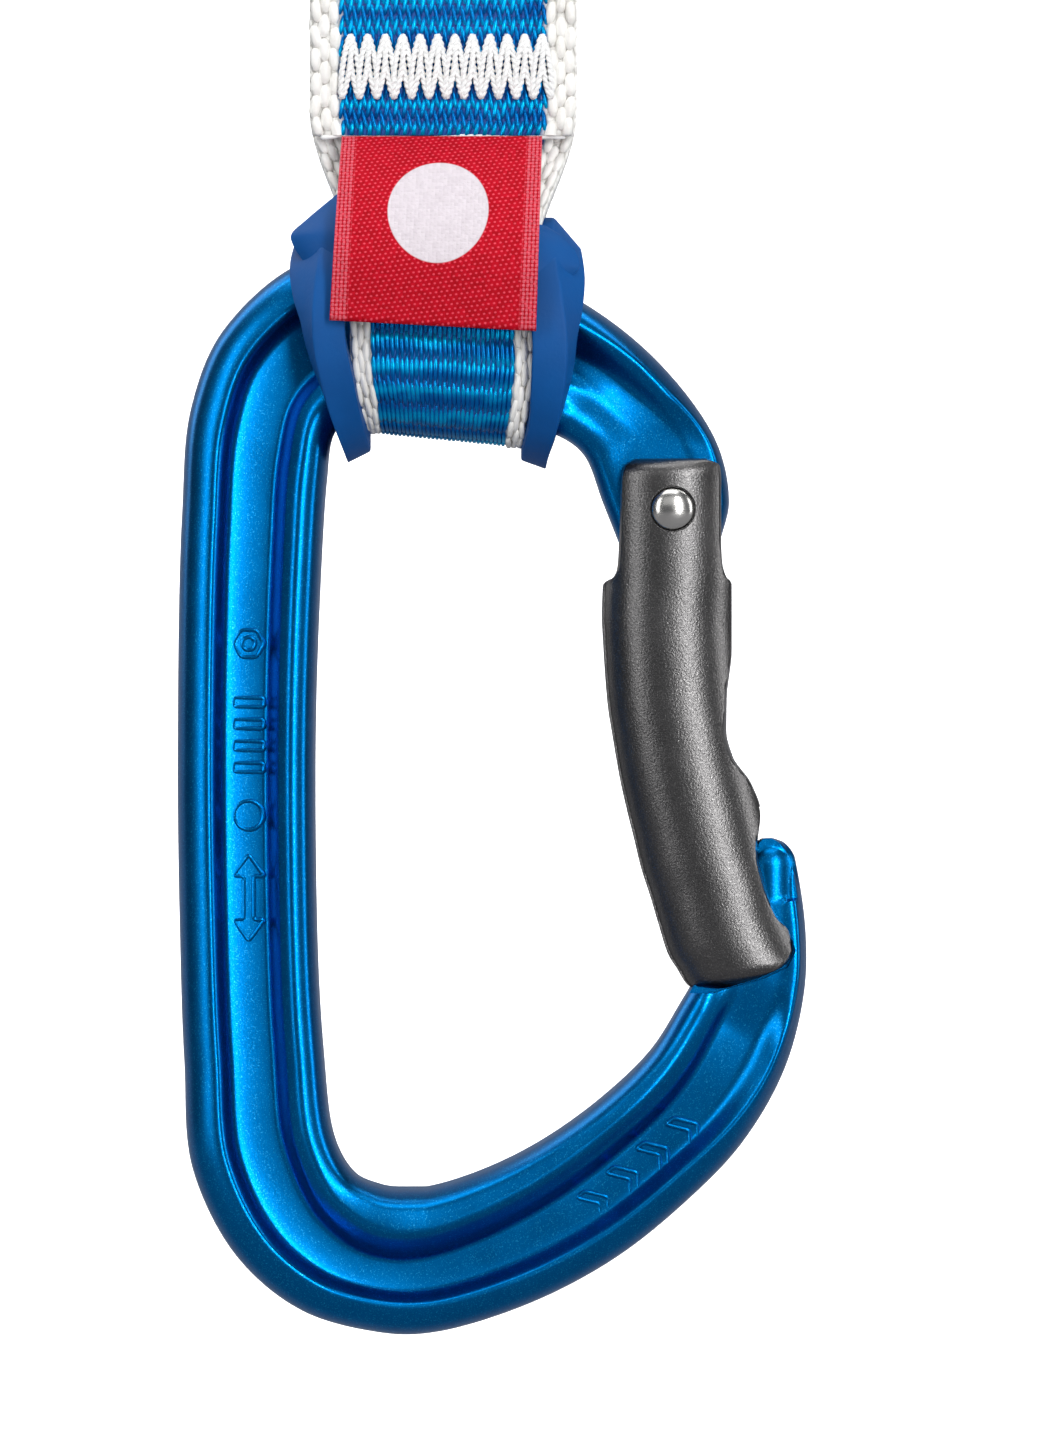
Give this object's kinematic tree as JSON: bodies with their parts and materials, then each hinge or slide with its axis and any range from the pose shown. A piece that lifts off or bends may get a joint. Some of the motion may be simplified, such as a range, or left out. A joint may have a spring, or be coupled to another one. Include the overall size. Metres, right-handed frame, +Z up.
{
  "type": "climbing quickdraw",
  "caption": "Webbing sling with a straight-gate carabiner at its bolt end and a bent-gate carabiner, held in line by a rubber keeper, at its rope end.",
  "frame": {"origin": "flat seat at the bottom of the bolt-end basket, on which a bolt hanger bears, in the middle of the body's thickness", "axes": "+Z up along the hanging quickdraw, +X towards the gates, +Y away from the viewer, across the thickness"},
  "size_m": [0.058, 0.0213, 0.2846],
  "materials": {
    "anodised_blue": "satin blue anodising",
    "gate_grey": "fine bead-blasted dark grey anodising",
    "rivet_steel": "polished stainless steel",
    "spring_steel": "drawn stainless steel",
    "webbing": "woven webbing, blue with off-white selvedges",
    "tack_thread": "off-white twisted thread",
    "label_red": "red woven label with a plain white disc",
    "keeper_rubber": "matte blue rubber"
  },
  "bodies": {
    "bolt_carabiner": {"bolt_body": "anodised_blue"},
    "bolt_gate_swing": {"bolt_gate": "gate_grey", "bolt_gate_rivet": "rivet_steel", "bolt_gate_spring": "spring_steel"},
    "bolt_plunger": {"bolt_gate_plunger": "spring_steel"},
    "sling": {"sling_strap": "webbing", "woven_label": "label_red", "rubber_keeper": "keeper_rubber", "rope_tack_front": "tack_thread", "rope_tack_back": "tack_thread", "rope_inner_tack_front": "tack_thread", "rope_inner_tack_back": "tack_thread", "bolt_inner_tack_front": "tack_thread", "bolt_inner_tack_back": "tack_thread", "bolt_tack_front": "tack_thread", "bolt_tack_back": "tack_thread"},
    "rope_carabiner": {"rope_body": "anodised_blue"},
    "rope_gate_swing": {"rope_gate": "gate_grey", "rope_gate_rivet": "rivet_steel", "rope_gate_spring": "spring_steel"},
    "rope_plunger": {"rope_gate_plunger": "spring_steel"}
  },
  "joints": [
    {"name": "bolt_gate_hinge", "type": "hinge", "parent": "bolt_carabiner", "child": "bolt_gate_swing", "pos_m": [0.02386, 0, -0.06233], "axis": [0, -1, 0], "range_deg": [0, 40], "stiffness_Nm_per_rad": 0.27, "springref_deg": -25.21},
    {"name": "bolt_plunger_slide", "type": "slide", "parent": "bolt_gate_swing", "child": "bolt_plunger", "axis": [0, 0, 1], "range_m": [0, 0.0034], "deforming": ["bolt_gate_spring"]},
    {"name": "sling_swing", "type": "hinge", "parent": "bolt_carabiner", "child": "sling", "pos_m": [0, 0, -0.077], "axis": [1, 0, 0], "range_deg": [-30, 30]},
    {"name": "rope_carabiner_swing", "type": "hinge", "parent": "sling", "child": "rope_carabiner", "pos_m": [0, 0, -0.1815], "axis": [1, 0, 0], "range_deg": [-4, 4], "stiffness_Nm_per_rad": 0.3},
    {"name": "rope_gate_hinge", "type": "hinge", "parent": "rope_carabiner", "child": "rope_gate_swing", "pos_m": [0.02386, 0, -0.19527], "axis": [0, 1, 0], "range_deg": [0, 40], "stiffness_Nm_per_rad": 0.27, "springref_deg": -25.21},
    {"name": "rope_plunger_slide", "type": "slide", "parent": "rope_gate_swing", "child": "rope_plunger", "axis": [0, 0, -1], "range_m": [0, 0.0034], "deforming": ["rope_gate_spring"]}
  ],
  "couplings": [
    {"joint": "bolt_plunger_slide", "follows": "bolt_gate_hinge", "m_per_rad": 0.004727},
    {"joint": "rope_plunger_slide", "follows": "rope_gate_hinge", "m_per_rad": 0.004727}
  ]
}
